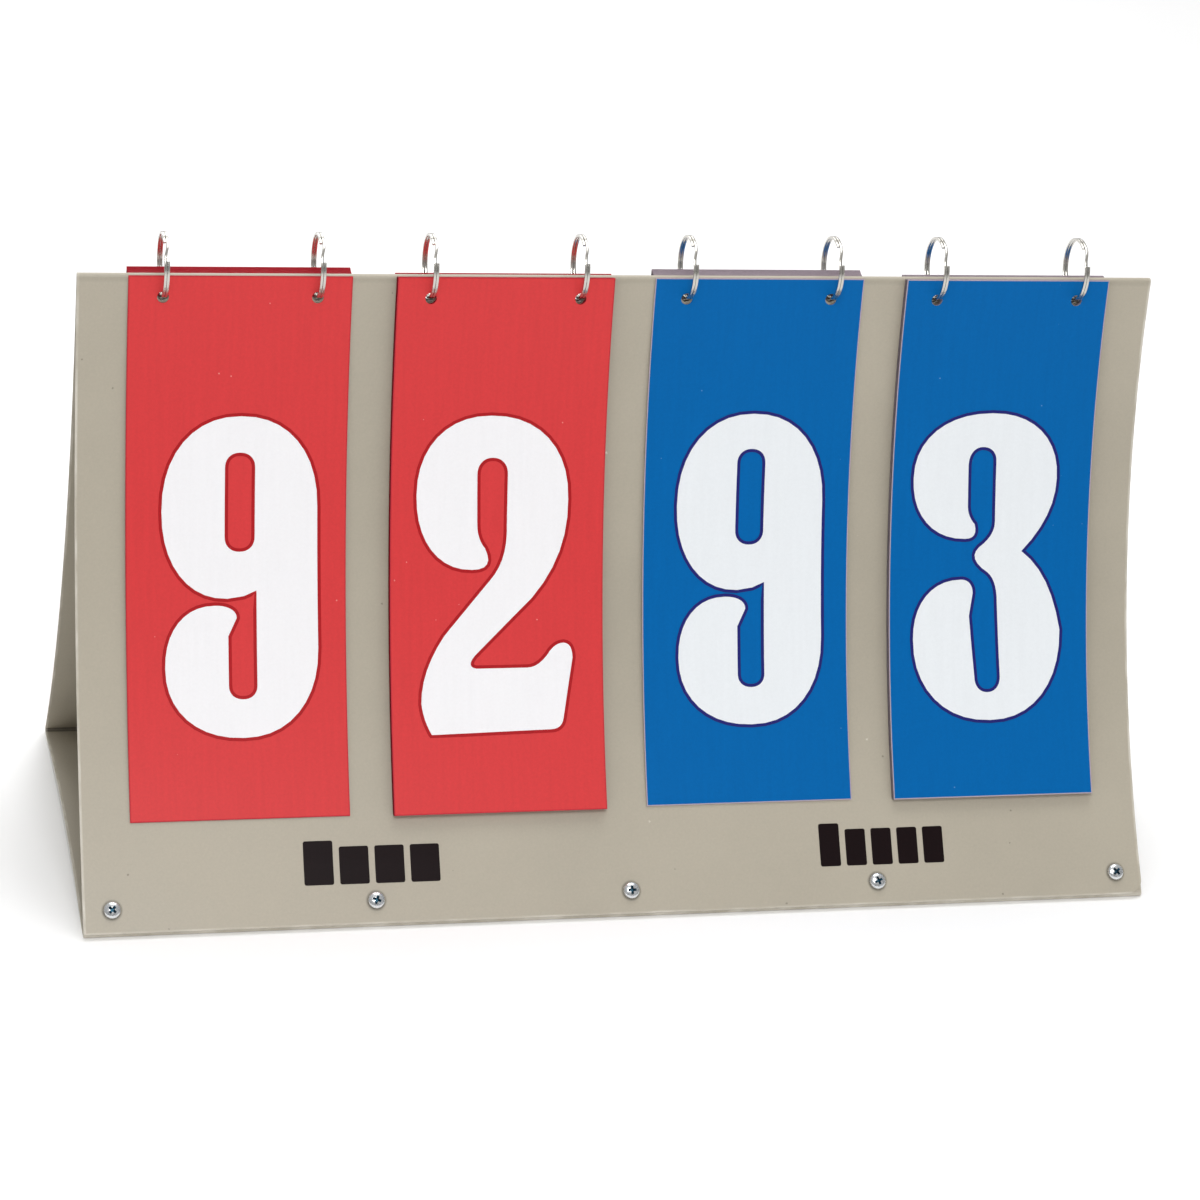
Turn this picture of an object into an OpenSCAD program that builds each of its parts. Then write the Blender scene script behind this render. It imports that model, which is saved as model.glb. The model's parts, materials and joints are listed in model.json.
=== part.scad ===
// Tabletop flip scoreboard: a tent folded from one plastic sheet, closed along its front foot by
// screws, with four sets of numbered cards that hang on rings through the ridge and flip over it.
// Millimetres, +Z up, front towards -Y, origin on the table under the middle of the tent.

/* [Stand] */
// Width of the folded sheet
stand_w = 610; // [560:5:900]
// Height of the ridge above the table
stand_h = 336; // [320:1:420]
// Depth of the tent over its two bottom creases
stand_d = 250; // [180:1:300]
// Thickness of the folded sheet
sheet_t = 1.6; // [1:0.1:2.4]
// Inside radius of the three creases
crease_r = 0.6; // [0.4:0.1:1.2]
// Tilt of the front panel from upright, just below the ridge
front_top_tilt = 1.2; // [0.6:0.1:6]
// Tilt of the rear panel from upright, just below the ridge
rear_top_tilt = 0.8; // [0.6:0.1:6]
// Rise of the arched base between its two flat strips
base_arch = 9; // [4:0.5:16]
// Width of each flat strip that the tent stands on
land_w = 10; // [6:1:20]

/* [Front seam] */
// Height of the upturned flange behind the front panel's foot, along the slope
flange_h = 26; // [22:1:40]
// Length of the front panel below the start of the front crease
hem_drop = 1.2; // [0.5:0.1:1.6]
// Radius of the front panel's lower right corner
hem_corner_r = 8; // [4:1:20]
// Number of screws along the seam
screw_count = 5; // [3:1:7]
// Distance of the screws from the front panel's lower edge
screw_rise = 12.7; // [9:0.1:16]
// Distance of the end screws from the sides of the sheet
screw_side = 15.6; // [12:0.2:30]
// Diameter of the screw shank
screw_d = 4.8; // [4:0.1:5]
// Diameter of the screw head
head_d = 9.4; // [8:0.1:11]
// Height of the screw head
head_h = 3; // [2:0.1:4]
// Thickness of the washer behind the seam
washer_t = 1; // [0.6:0.1:1.6]
// Outer diameter of the washer
washer_d = 10; // [8:0.2:12]
// Thickness of the nut
nut_h = 4; // [3:0.1:5]
// Width of the nut across its flats
nut_af = 8; // [7:0.1:9]

/* [Rings] */
// Radius of the middle of a ring's band
ring_r = 17; // [16:0.25:21]
// Width of a ring's two turns side by side
band_w = 3; // [2.4:0.1:3.2]
// Thickness of the band, outside to inside of the ring
band_t = 1.5; // [1:0.1:1.7]
// Depth of the groove between the two turns
turn_groove = 0.25; // [0.1:0.05:0.4]
// Diameter of the ring holes in the panels and the cards
hole_d = 6.35; // [6:0.05:7.5]
// Distance of the panels' ring holes below the ridge
hole_drop = 11.5; // [10:0.5:12.5]
// Distance from the middle of a hole to the middle of the band lying in it
ring_sit = 0.6; // [0.4:0.05:0.9]

/* [Cards] */
// Width of a card
card_w = 121; // [110:1:130]
// Height of a card, along the sheet
card_h = 300; // [280:1:310]
// Thickness of a card
card_t = 0.35; // [0.25:0.05:0.5]
// Thickness of the printed numeral
print_t = 0.05; // [0.02:0.01:0.08]
// Air between one card and the next
card_air = 0.2; // [0.15:0.05:0.4]
// Clearance between the innermost card and the panel at its top and foot
card_seat = 0.3; // [0.3:0.05:0.6]
// Air behind the middle of the innermost card, where it spans the hollow of the panel
card_span_air = 1.5; // [1:0.1:6]
// Distance between the middles of two neighbouring card sets
set_pitch = 145; // [132:1:160]
// Distance between the two ring holes of a card
hole_pitch = 83.6; // [76:0.2:90]
// Distance of a card's ring holes from its top edge
hole_inset = 12; // [9:0.5:14]
// Distance from the top of a card to the top of its numeral
numeral_drop = 78.5; // [60:0.5:110]
// Height of the numerals
numeral_h = 177; // [150:1:185]

/* [Score shown] */
// Home score, tens
home_tens = 9; // [0:1:9]
// Home score, units
home_units = 2; // [0:1:9]
// Guest score, tens
guest_tens = 9; // [0:1:9]
// Guest score, units
guest_units = 3; // [0:1:9]

/* [Hidden] */
$fn = 96;
ARC_FN = 360;
FRONT = 0;
REAR = 1;
DEG = 180 / PI;
SETS = ["home_tens", "home_units", "guest_tens", "guest_units"];
HANDS = ["left", "right"];
DIGITS = 10;
shown = [home_tens, home_units, guest_tens, guest_units];
RING_NODES = [for (set = SETS, hand = HANDS) str(set, "_ring_", hand)];
CARD_NODES = [for (set = SETS, digit = [0:DIGITS - 1]) str(set, "_card_", digit)];

SHEET_COLOUR = "#b5ab9b";
HOME_COLOUR = "#d94b4b";
GUEST_COLOUR = "#0062a5";
PRINT_COLOUR = "#f4f4f8";
STEEL_COLOUR = "#c4c2bd";

// Half profiles are drawn in [u, z]: u is the distance from the ridge's plane, towards the front or
// the rear. A tilt is measured from upright, and a sheet at that tilt faces polar([0, 0], 1, tilt).
bend_r = crease_r + sheet_t;
ridge = [0, stand_h - bend_r];
function polar(centre, r, a) = [centre[0] + r * cos(a), centre[1] + r * sin(a)];
function mid(a, b) = (a + b) / 2;
// The crossing of two circles that lies lower
function circles_meet(c1, r1, c2, r2) =
    let (
        apart = norm(c2 - c1),
        along = (apart * apart + r1 * r1 - r2 * r2) / (2 * apart),
        across = sqrt(r1 * r1 - along * along),
        dir = (c2 - c1) / apart,
        foot = c1 + along * dir,
        one = foot + across * [-dir[1], dir[0]],
        other = foot - across * [-dir[1], dir[0]]
    )
    one[1] < other[1] ? one : other;

// The front panel laps round the outside of its crease, the rear panel grows out of its own
lap_r = [bend_r + sheet_t, bend_r];
top_tilt = [front_top_tilt, rear_top_tilt];
foot_bend = [for (side = [FRONT, REAR]) [stand_d / 2 - lap_r[side], bend_r]];
panel_top = [for (side = [FRONT, REAR]) polar(ridge, bend_r, top_tilt[side])];
// The tilt at which a round panel meets its foot crease squarely, found by repetition
function foot_tilt(side, tilt, rounds) =
    rounds == 0 ? tilt : let (
        run = polar(foot_bend[side], lap_r[side], tilt) - panel_top[side]
    )
    foot_tilt(side, 2 * atan2(run[0], -run[1]) - top_tilt[side], rounds - 1);
bottom_tilt = [for (side = [FRONT, REAR]) foot_tilt(side, 40, 8)];
panel_foot = [for (side = [FRONT, REAR]) polar(foot_bend[side], lap_r[side], bottom_tilt[side])];
// Radius and centre of each panel's outer face
panel_r = [for (side = [FRONT, REAR])
    norm(panel_foot[side] - panel_top[side]) / (2 * sin((bottom_tilt[side] - top_tilt[side]) / 2))];
panel_o = [for (side = [FRONT, REAR]) polar(panel_top[side], panel_r[side], top_tilt[side])];

// The rings' middle is also the line that the cards turn about
ring_z = stand_h - hole_drop - ring_sit + ring_r;
card_hole_r = ring_r + ring_sit;
card_pitch = card_t + print_t + card_air;
// The innermost card leans on the ridge and on the panel, a little flatter than the panel between
card_turn = [for (side = [FRONT, REAR])
    DEG * (card_h / panel_r[side] - 8 * card_span_air / card_h)];
card_r = [for (side = [FRONT, REAR]) card_h * DEG / card_turn[side]];
card_head = [bend_r + card_seat, ridge[1]];
card_foot = [for (side = [FRONT, REAR])
    circles_meet(card_head, 2 * card_r[side] * sin(card_turn[side] / 2),
        panel_o[side], panel_r[side] - card_seat)];
card_o = [for (side = [FRONT, REAR]) let (
        run = card_foot[side] - card_head,
        face = atan2(run[0], -run[1])
    )
    polar(mid(card_head, card_foot[side]), card_r[side] * cos(card_turn[side] / 2), face)];

function set_x(set) = (set - (len(SETS) - 1) / 2) * set_pitch;
function ring_x(set, hand) = set_x(set) + (hand - 0.5) * hole_pitch;
function card_side(set, digit) = digit < shown[set] ? REAR : FRONT;
// Place in the stack, counted outwards from the panel
function card_slot(set, digit) = card_side(set, digit) == REAR ? digit : DIGITS - 1 - digit;
function face_r(side, slot) = card_r[side] - slot * card_pitch;
function card_hole(side, slot) =
    circles_meet(card_o[side], face_r(side, slot), [0, ring_z], card_hole_r);
function hole_tilt(side, slot) =
    let (to_centre = card_o[side] - card_hole(side, slot)) atan2(to_centre[1], to_centre[0]);
function card_top_tilt(side, slot) =
    hole_tilt(side, slot) - DEG * hole_inset / face_r(side, slot);
function card_tilt(side, slot, down) = card_top_tilt(side, slot) + DEG * down / face_r(side, slot);

// Turns a profile drawn in [u, z] into a solid along X
module along_x(side, width) {
    mirror([0, side == FRONT ? 1 : 0, 0])
        rotate([90, 0, 90])
            linear_extrude(height = width, center = true)
                children();
}

// A band of a ring between two radii, from angle a1 to angle a2
module arc_band(centre, r1, r2, a1, a2, fn) {
    reach = 2 * r2;
    intersection() {
        difference() {
            translate(centre) circle(r = r2, $fn = fn);
            translate(centre) circle(r = r1, $fn = fn);
        }
        polygon([
            centre,
            polar(centre, reach, a1),
            polar(centre, reach, (a1 + a2) / 2),
            polar(centre, reach, a2)
        ]);
    }
}

// The sheet between two tilts, on the inner side of the face at radius r about centre
module tilted_band(centre, r, thick, tilt1, tilt2) {
    arc_band(centre, r, r + thick, 180 + tilt1, 180 + tilt2, ARC_FN);
}

// Sets children on a panel's or a card's face: X along the row, Y up the slope, Z to the front
module on_face(side, centre, r, tilt) {
    spot = polar(centre, r, 180 + tilt);
    turn = side == FRONT ? -1 : 1;
    translate([0, turn * spot[0], spot[1]])
        rotate([90 + turn * tilt, 0, 0])
            children();
}

module panel_holes() {
    for (set = [0:len(SETS) - 1], hand = [0, 1])
        translate([ring_x(set, hand), 0, stand_h - hole_drop])
            rotate([90, 0, 0])
                cylinder(d = hole_d, h = 4 * hole_drop, center = true);
}

screw_tilt = bottom_tilt[FRONT] - DEG * (screw_rise - hem_drop) / panel_r[FRONT];
module at_screws(r) {
    run = stand_w - 2 * screw_side;
    for (i = [0:screw_count - 1])
        translate([i * run / (screw_count - 1) - run / 2, 0, 0])
            on_face(FRONT, panel_o[FRONT], r, screw_tilt)
                children();
}

module screw_clearance() {
    clearance_d = screw_d + 0.4;
    at_screws(panel_r[FRONT])
        cylinder(d = clearance_d, h = 8 * sheet_t, center = true);
}

// The front panel's straight edge below the start of the crease
module hem() {
    foot = panel_foot[FRONT];
    tilt = bottom_tilt[FRONT];
    translate(foot)
        rotate(tilt)
            translate([-sheet_t, -hem_drop])
                square([sheet_t, hem_drop]);
}

// What the rounded corner leaves over at the sheet's lower right
module hem_corner() {
    translate([stand_w / 2 - hem_corner_r, 0, 0])
        on_face(FRONT, panel_o[FRONT], panel_r[FRONT], bottom_tilt[FRONT])
            translate([0, hem_corner_r - hem_drop, -3 * sheet_t])
                difference() {
                    translate([0, -2 * hem_corner_r, 0])
                        cube([2 * hem_corner_r, 2 * hem_corner_r, 6 * sheet_t]);
                    translate([0, 0, -sheet_t])
                        cylinder(r = hem_corner_r, h = 8 * sheet_t);
                }
}

module front_panel() {
    color(SHEET_COLOUR)
        difference() {
            union() {
                along_x(FRONT, stand_w) {
                    tilted_band(panel_o[FRONT], panel_r[FRONT], sheet_t, top_tilt[FRONT], bottom_tilt[FRONT]);
                    arc_band(ridge, crease_r, bend_r, top_tilt[FRONT], 180 - top_tilt[REAR], $fn);
                    hem();
                }
            }
            panel_holes();
            screw_clearance();
            hem_corner();
        }
}

module rear_panel() {
    color(SHEET_COLOUR)
        difference() {
            along_x(REAR, stand_w)
                tilted_band(panel_o[REAR], panel_r[REAR], sheet_t, top_tilt[REAR], bottom_tilt[REAR]);
            panel_holes();
        }
}

// The base stands on a flat strip beside each crease and arches up between them
module base_panel() {
    front_end = -foot_bend[FRONT][0];
    rear_end = foot_bend[REAR][0];
    span = rear_end - front_end - 2 * land_w;
    arch_r = (span * span / 4 + base_arch * base_arch) / (2 * base_arch);
    arch_a = asin(span / (2 * arch_r));
    arch_o = [(front_end + rear_end) / 2, base_arch - arch_r];
    color(SHEET_COLOUR)
        union() {
            along_x(REAR, stand_w) {
                translate([front_end, 0])
                    square([land_w, sheet_t]);
                translate([rear_end - land_w, 0])
                    square([land_w, sheet_t]);
                arc_band(arch_o, arch_r, arch_r + sheet_t, 90 - arch_a, 90 + arch_a, ARC_FN);
                arc_band(foot_bend[REAR], crease_r, bend_r, -90, bottom_tilt[REAR], $fn);
            }
            along_x(FRONT, stand_w)
                arc_band(foot_bend[FRONT], crease_r, bend_r, -90, bottom_tilt[FRONT], $fn);
        }
}

// The end of the sheet, turned up behind the front panel's foot
module seam_flange() {
    inner_r = panel_r[FRONT] + sheet_t;
    color(SHEET_COLOUR)
        difference() {
            along_x(FRONT, stand_w)
                tilted_band(panel_o[FRONT], inner_r, sheet_t,
                    bottom_tilt[FRONT] - DEG * flange_h / inner_r, bottom_tilt[FRONT]);
            screw_clearance();
        }
}

// A pan head screw with a cross recess, pushed in from the front
head_seat = 0.05;
shank_l = 2 * sheet_t + washer_t + nut_h + 1;
module screw() {
    edge_h = 0.45 * head_h;
    cross_w = 0.13 * head_d;
    cross_l = 0.52 * head_d;
    difference() {
        union() {
            rotate_extrude()
                intersection() {
                    square([head_d / 2, head_h]);
                    union() {
                        square([head_d / 2, edge_h]);
                        translate([0, edge_h])
                            scale([head_d / 2, head_h - edge_h])
                                circle(r = 1);
                    }
                }
            translate([0, 0, -shank_l])
                cylinder(d = screw_d, h = shank_l + edge_h);
        }
        for (turn = [0, 90])
            rotate(turn)
                translate([-cross_l / 2, -cross_w / 2, 0.4 * head_h])
                    cube([cross_l, cross_w, head_h]);
    }
}

module seam_screws() {
    color(STEEL_COLOUR)
        at_screws(panel_r[FRONT] - head_seat)
            screw();
}

module seam_washers() {
    color(STEEL_COLOUR)
        at_screws(panel_r[FRONT] + 2 * sheet_t + washer_t)
            difference() {
                cylinder(d = washer_d, h = washer_t);
                translate([0, 0, -washer_t])
                    cylinder(d = screw_d + 0.4, h = 3 * washer_t);
            }
}

module seam_nuts() {
    color(STEEL_COLOUR)
        at_screws(panel_r[FRONT] + 2 * sheet_t + washer_t + nut_h)
            difference() {
                cylinder(d = nut_af / cos(30), h = nut_h, $fn = 6);
                translate([0, 0, -nut_h])
                    cylinder(d = screw_d + 0.1, h = 3 * nut_h);
            }
}

// A split ring: two flat turns side by side, with a groove between them outside and inside
module ring(set, hand) {
    color(STEEL_COLOUR)
        translate([ring_x(set, hand), 0, ring_z])
            rotate([0, 90, 0])
                rotate_extrude()
                    translate([ring_r, 0])
                        difference() {
                            square([band_t, band_w], center = true);
                            for (out = [-1, 1])
                                translate([out * band_t / 2, 0])
                                    rotate(45)
                                        square(turn_groove * sqrt(2), center = true);
                        }
}

// Numeral outlines. Each is a closed path in millimetres, x across and y down from the top of the
// numeral. A move ends at its first point. "H" and "V" are quarters of a full round shape that
// set off level or upright, "bend" curves towards its second point, and "line" is straight.
ROUNDNESS = 2 / 2.2;
QUARTER_STEPS = 10;
BEND_STEPS = 6;
DRAWN_H = 177;
function leg(from, to) =
    let (a = [from[1], from[2]], b = [to[1], to[2]])
    to[0] == "line" ? [b] :
    to[0] == "bend" ? [for (k = [1:BEND_STEPS]) let (
            t = k / BEND_STEPS,
            pull = [to[3], to[4]]
        )
        (1 - t) * (1 - t) * a + 2 * t * (1 - t) * pull + t * t * b] :
    [for (k = [1:QUARTER_STEPS]) let (
            s = pow(sin(90 * k / QUARTER_STEPS), ROUNDNESS),
            c = pow(cos(90 * k / QUARTER_STEPS), ROUNDNESS)
        )
        to[0] == "H" ? [a[0] + (b[0] - a[0]) * s, b[1] + (a[1] - b[1]) * c]
            : [b[0] + (a[0] - b[0]) * c, a[1] + (b[1] - a[1]) * s]];
function outline(moves) =
    [for (i = [0:len(moves) - 1], p = leg(moves[i == 0 ? len(moves) - 1 : i - 1], moves[i])) p];

// An upright slot with round ends
function slot(x1, x2, y1, y2) =
    let (r = (x2 - x1) / 2)
    [["H", x2, y1 + r], ["line", x2, y2 - r], ["V", x1 + r, y2],
        ["H", x1, y2 - r], ["line", x1, y1 + r], ["V", x1 + r, y1]];

NINE = [
    ["H", 44.5, 50], ["line", 45, 128], ["V", 3, 176.5], ["H", -39.5, 138], ["V", -12, 104],
    ["H", 0, 111], ["line", -4.7, 121], ["line", -4.7, 148], ["V", 3.2, 155.5], ["H", 11, 148],
    ["line", 11, 96], ["line", 4, 99], ["line", -5, 100.3], ["H", -41, 52], ["V", 2, 0]
];
NINE_SLOT = slot(-6.5, 10, 20, 74.5);
function turned(moves) = [for (m = moves) [m[0], 4 - m[1], 176.5 - m[2]]];

// Each numeral is its outer path, then its slots
NUMERALS = [
    [
        [["H", 44, 50], ["line", 44, 127], ["V", 0, 177], ["H", -44, 127], ["line", -44, 50], ["V", 0, 0]],
        slot(-8, 8, 20, 157)
    ],
    [
        [["line", 20, 0], ["line", 20, 152], ["bend", 34, 165, 20, 164], ["line", 34, 177],
            ["line", -34, 177], ["line", -34, 165], ["bend", -16, 152, -16, 164],
            ["line", -16, 42], ["bend", -32, 50, -20, 50], ["line", -32, 28], ["bend", -4, 0, -8, 24]]
    ],
    [
        [["H", 40, 47], ["bend", 20, 102, 41, 78], ["line", -13, 134], ["bend", -12, 141, -18, 140],
            ["line", 17, 141], ["bend", 30, 132, 24, 141], ["bend", 38, 127.5, 33.5, 127.5],
            ["bend", 43, 136, 43, 128], ["line", 37.3, 169], ["bend", 30, 175.5, 36.5, 175.5],
            ["line", -38, 177], ["bend", -43.5, 160, -42.5, 169], ["bend", -30, 122.5, -43.5, 142],
            ["line", -4, 92], ["bend", 5.3, 66, 5, 82], ["line", 5.3, 33], ["V", -3.5, 23.5],
            ["H", -12, 33], ["line", -11.5, 61], ["bend", -7, 74, -11.3, 69],
            ["bend", -14, 86, -1, 86], ["H", -46, 44], ["V", -5, 0]]
    ],
    [
        [["H", 39.5, 38], ["bend", 19.5, 80, 39.5, 60], ["bend", 43.5, 126, 38, 93], ["V", 0, 177],
            ["H", -46, 130], ["V", -17, 96], ["H", -9.8, 104], ["line", -12, 117], ["line", -9, 152],
            ["V", -1.3, 161], ["H", 6.5, 152], ["line", 4.8, 106], ["bend", -1, 92, 4, 96],
            ["bend", -6.5, 77.5, -13.5, 84], ["bend", 2.8, 63, 2.8, 71], ["line", 2, 28],
            ["V", -6.5, 19.5], ["H", -14.7, 30], ["line", -14, 54], ["bend", -9.5, 64, -13.5, 60],
            ["bend", -15, 72.5, -7, 72.5], ["H", -47.5, 37], ["V", -2, 0]]
    ],
    [
        [["line", 34, 0], ["line", 34, 112], ["line", 45, 112], ["line", 45, 136], ["line", 34, 136],
            ["line", 34, 154], ["bend", 43, 166, 34, 165], ["line", 43, 177], ["line", -9, 177],
            ["line", -9, 166], ["bend", 0, 154, 0, 165], ["line", 0, 136], ["line", -45, 136],
            ["line", -45, 120], ["bend", -2, 0, -22, 70]],
        [["line", 0, 112], ["line", -23, 112], ["bend", 0, 46, -8, 84]]
    ],
    [
        [["line", 38, 0], ["line", 38, 12], ["bend", 24, 27, 38, 27], ["line", -17, 27],
            ["line", -19, 62], ["bend", 6, 55, -8, 55], ["H", 44.5, 108], ["line", 44.5, 126],
            ["V", 0, 177], ["H", -46, 130], ["V", -17, 98], ["H", -9.8, 106], ["line", -12, 118],
            ["line", -9, 152], ["V", -1.3, 161], ["H", 6.5, 152], ["line", 6.5, 92],
            ["bend", -2, 80, 6.5, 80], ["bend", -16, 86, -11, 80], ["line", -40, 86], ["line", -38, 0]]
    ],
    [turned(NINE), turned(NINE_SLOT)],
    [
        [["line", 42, 0], ["line", 42, 20], ["bend", 8, 177, 10, 90], ["line", -28, 177],
            ["bend", 14, 34, -26, 90], ["line", -20, 34], ["bend", -31, 48, -31, 34],
            ["line", -42, 48], ["line", -42, 0]]
    ],
    [
        [["H", 40, 41], ["bend", 24, 82, 40, 66], ["bend", 44.5, 128, 44.5, 96], ["V", 0, 177],
            ["H", -44.5, 128], ["bend", -24, 82, -44.5, 96], ["bend", -40, 41, -40, 66], ["V", 0, 0]],
        slot(-8, 8, 20, 68),
        slot(-8, 8, 96, 157)
    ],
    [NINE, NINE_SLOT]
];

module numeral(digit) {
    grow = numeral_h / DRAWN_H;
    paths = NUMERALS[digit];
    scale([grow, -grow])
        difference() {
            polygon(outline(paths[0]));
            if (len(paths) > 1)
                for (i = [1:len(paths) - 1])
                    polygon(outline(paths[i]));
        }
}

// One card: the sheet with its two ring holes, and the numeral printed on the face that shows
// when the card hangs at the front
module card(set, digit) {
    side = card_side(set, digit);
    slot = card_slot(set, digit);
    back_r = face_r(side, slot);
    print_out = side == FRONT;
    sheet_r = print_out ? back_r - card_t : back_r - card_t - print_t;
    print_r = print_out ? sheet_r - print_t : sheet_r + card_t / 2;
    top = card_tilt(side, slot, 0);
    bottom = card_tilt(side, slot, card_h);
    hole = card_hole(side, slot);
    middle = card_tilt(side, slot, numeral_drop + numeral_h / 2);
    depth = numeral_h * numeral_h / (8 * back_r) + 2;
    translate([set_x(set), 0, 0]) {
        color(set < 2 ? HOME_COLOUR : GUEST_COLOUR)
            difference() {
                along_x(side, card_w)
                    tilted_band(card_o[side], sheet_r, card_t, top, bottom);
                for (out = [-1, 1])
                    translate([out * hole_pitch / 2, 0, hole[1]])
                        rotate([90, 0, 0])
                            cylinder(d = hole_d, h = 4 * hole_drop, center = true);
            }
        color(PRINT_COLOUR)
            intersection() {
                along_x(side, card_w)
                    tilted_band(card_o[side], print_r, print_t + card_t / 2, top, bottom);
                on_face(side, card_o[side], back_r, middle)
                    translate([0, numeral_h / 2, -depth])
                        linear_extrude(height = 2 * depth)
                            numeral(digit);
            }
    }
}

front_panel();
rear_panel();
base_panel();
seam_flange();
seam_screws();
seam_washers();
seam_nuts();
for (set = [0:len(SETS) - 1], hand = [0, 1])
    ring(set, hand);
for (set = [0:len(SETS) - 1], digit = [0:DIGITS - 1])
    card(set, digit);
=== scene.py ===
"""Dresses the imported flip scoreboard: finishes, split rings, seam fasteners, printed marks and studio."""
import json
import logging
import math
from dataclasses import dataclass
from enum import Enum
from typing import Any

import bmesh
import bpy
import numpy as np
from bpy.types import Material, Mesh, Node, NodeSocket, NodeTree, Object
from mathutils import Matrix, Vector

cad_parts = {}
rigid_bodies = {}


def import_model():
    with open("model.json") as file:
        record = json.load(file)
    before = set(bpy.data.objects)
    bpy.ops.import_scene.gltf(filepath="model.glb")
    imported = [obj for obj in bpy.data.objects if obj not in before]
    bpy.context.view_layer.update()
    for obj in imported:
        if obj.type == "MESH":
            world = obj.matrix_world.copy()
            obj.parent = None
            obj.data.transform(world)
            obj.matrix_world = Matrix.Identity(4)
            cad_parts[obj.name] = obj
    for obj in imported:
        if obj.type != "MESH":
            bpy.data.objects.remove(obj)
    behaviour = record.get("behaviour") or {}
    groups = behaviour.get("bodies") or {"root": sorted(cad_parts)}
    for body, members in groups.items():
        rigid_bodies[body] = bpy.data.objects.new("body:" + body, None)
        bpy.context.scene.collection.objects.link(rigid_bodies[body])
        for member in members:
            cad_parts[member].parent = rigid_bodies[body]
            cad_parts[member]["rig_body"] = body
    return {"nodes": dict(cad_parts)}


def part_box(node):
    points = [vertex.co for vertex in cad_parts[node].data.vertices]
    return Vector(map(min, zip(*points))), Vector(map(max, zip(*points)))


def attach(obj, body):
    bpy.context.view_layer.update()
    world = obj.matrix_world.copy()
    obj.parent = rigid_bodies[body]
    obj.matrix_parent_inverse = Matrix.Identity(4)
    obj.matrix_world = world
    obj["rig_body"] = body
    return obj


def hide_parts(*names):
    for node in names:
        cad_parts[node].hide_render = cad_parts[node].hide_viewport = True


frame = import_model()

LOG = logging.getLogger("scoreboard")
MM = 0.001
# Points closer than this to a sheet's end are on it
NEAR = 0.01 * MM
# Decimals of a metre to which two points are the same point
ALIKE_DIGITS = 7
# Times that a bow's circle is fitted: first to both of its faces, then to the farther one
FIT_ROUNDS = 3
# Stands in for the length of a face without area, so that nothing is divided by zero
TINY = 1e-20


def linear(colour: str) -> tuple[float, float, float, float]:
    """Turns an sRGB hex colour into linear RGBA.

    Args:
        colour: Six hex digits after a hash.

    Returns:
        The linear red, green and blue, and an alpha of one.
    """
    parts = [int(colour[i:i + 2], 16) / 255 for i in (1, 3, 5)]
    turned = [c / 12.92 if c <= 0.04045 else ((c + 0.055) / 1.055) ** 2.4 for c in parts]
    return turned[0], turned[1], turned[2], 1.0


def add_node(tree: NodeTree, kind: str, settings: dict[str, Any] | None = None,
             inputs: dict[str | int, Any] | None = None) -> Node:
    """Adds a node with its settings and links.

    Args:
        tree: The material's node tree.
        kind: The node's type, without the "ShaderNode" that each begins with.
        settings: Values for the node's own properties.
        inputs: A value or another node's output for each named or numbered input.

    Returns:
        The new node.
    """
    node = tree.nodes.new("ShaderNode" + kind)
    for name, value in (settings or {}).items():
        setattr(node, name, value)
    for name, value in (inputs or {}).items():
        if isinstance(value, NodeSocket):
            tree.links.new(value, node.inputs[name])
        else:
            node.inputs[name].default_value = value
    return node


@dataclass(frozen=True)
class Layer:
    """Something that lies on a surface: a colour, and how much of it there is at each place."""

    colour: str

    def cover(self, tree: NodeTree, place: NodeSocket, shade: NodeSocket) -> NodeSocket:
        """Lays the layer over a colour.

        Args:
            tree: The material's node tree.
            place: Object coordinates.
            shade: The colour below.

        Returns:
            The colour with the layer.
        """
        return add_node(tree, "Mix", {"data_type": "RGBA"}, {
            0: self.amount(tree, place), 6: shade, 7: linear(self.colour)}).outputs[2]

    def amount(self, tree: NodeTree, place: NodeSocket) -> NodeSocket:
        """How much of the layer there is at each place. Each kind of layer works it out in its own way."""
        raise NotImplementedError


@dataclass(frozen=True)
class Marks(Layer):
    """Small ragged marks, of uneven size because the surface cuts through round blots in space.

    The sizes are the mean distance between two blots, their radius and the grain of their outline. The
    outline strays by a share of the radius, and a blot has its full strength up to another share.
    """

    apart_mm: float
    radius_mm: float
    strength: float
    ruffle_mm: float = 1.7
    stray: float = 1.4
    core: float = 0.6

    def amount(self, tree: NodeTree, place: NodeSocket) -> NodeSocket:
        """Draws the blots round scattered points.

        Args:
            tree: The material's node tree.
            place: Object coordinates.

        Returns:
            How strong the marks are.
        """
        ruffle = add_node(tree, "TexNoise", inputs={
            "Vector": place, "Scale": 1 / (self.ruffle_mm * MM), "Detail": 2.0})
        push = add_node(tree, "VectorMath", {"operation": "SCALE"}, {
            "Vector": ruffle.outputs["Color"], "Scale": self.stray * self.radius_mm * MM})
        moved = add_node(tree, "VectorMath", {"operation": "ADD"}, {0: place, 1: push.outputs["Vector"]})
        cell = add_node(tree, "TexVoronoi", inputs={
            "Vector": moved.outputs["Vector"], "Scale": 1 / (self.apart_mm * MM), "Randomness": 1.0})
        return add_node(tree, "MapRange", inputs={
            "Value": cell.outputs["Distance"], "From Min": self.core * self.radius_mm / self.apart_mm,
            "From Max": self.radius_mm / self.apart_mm, "To Min": self.strength,
            "To Max": 0.0}).outputs["Result"]


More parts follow.
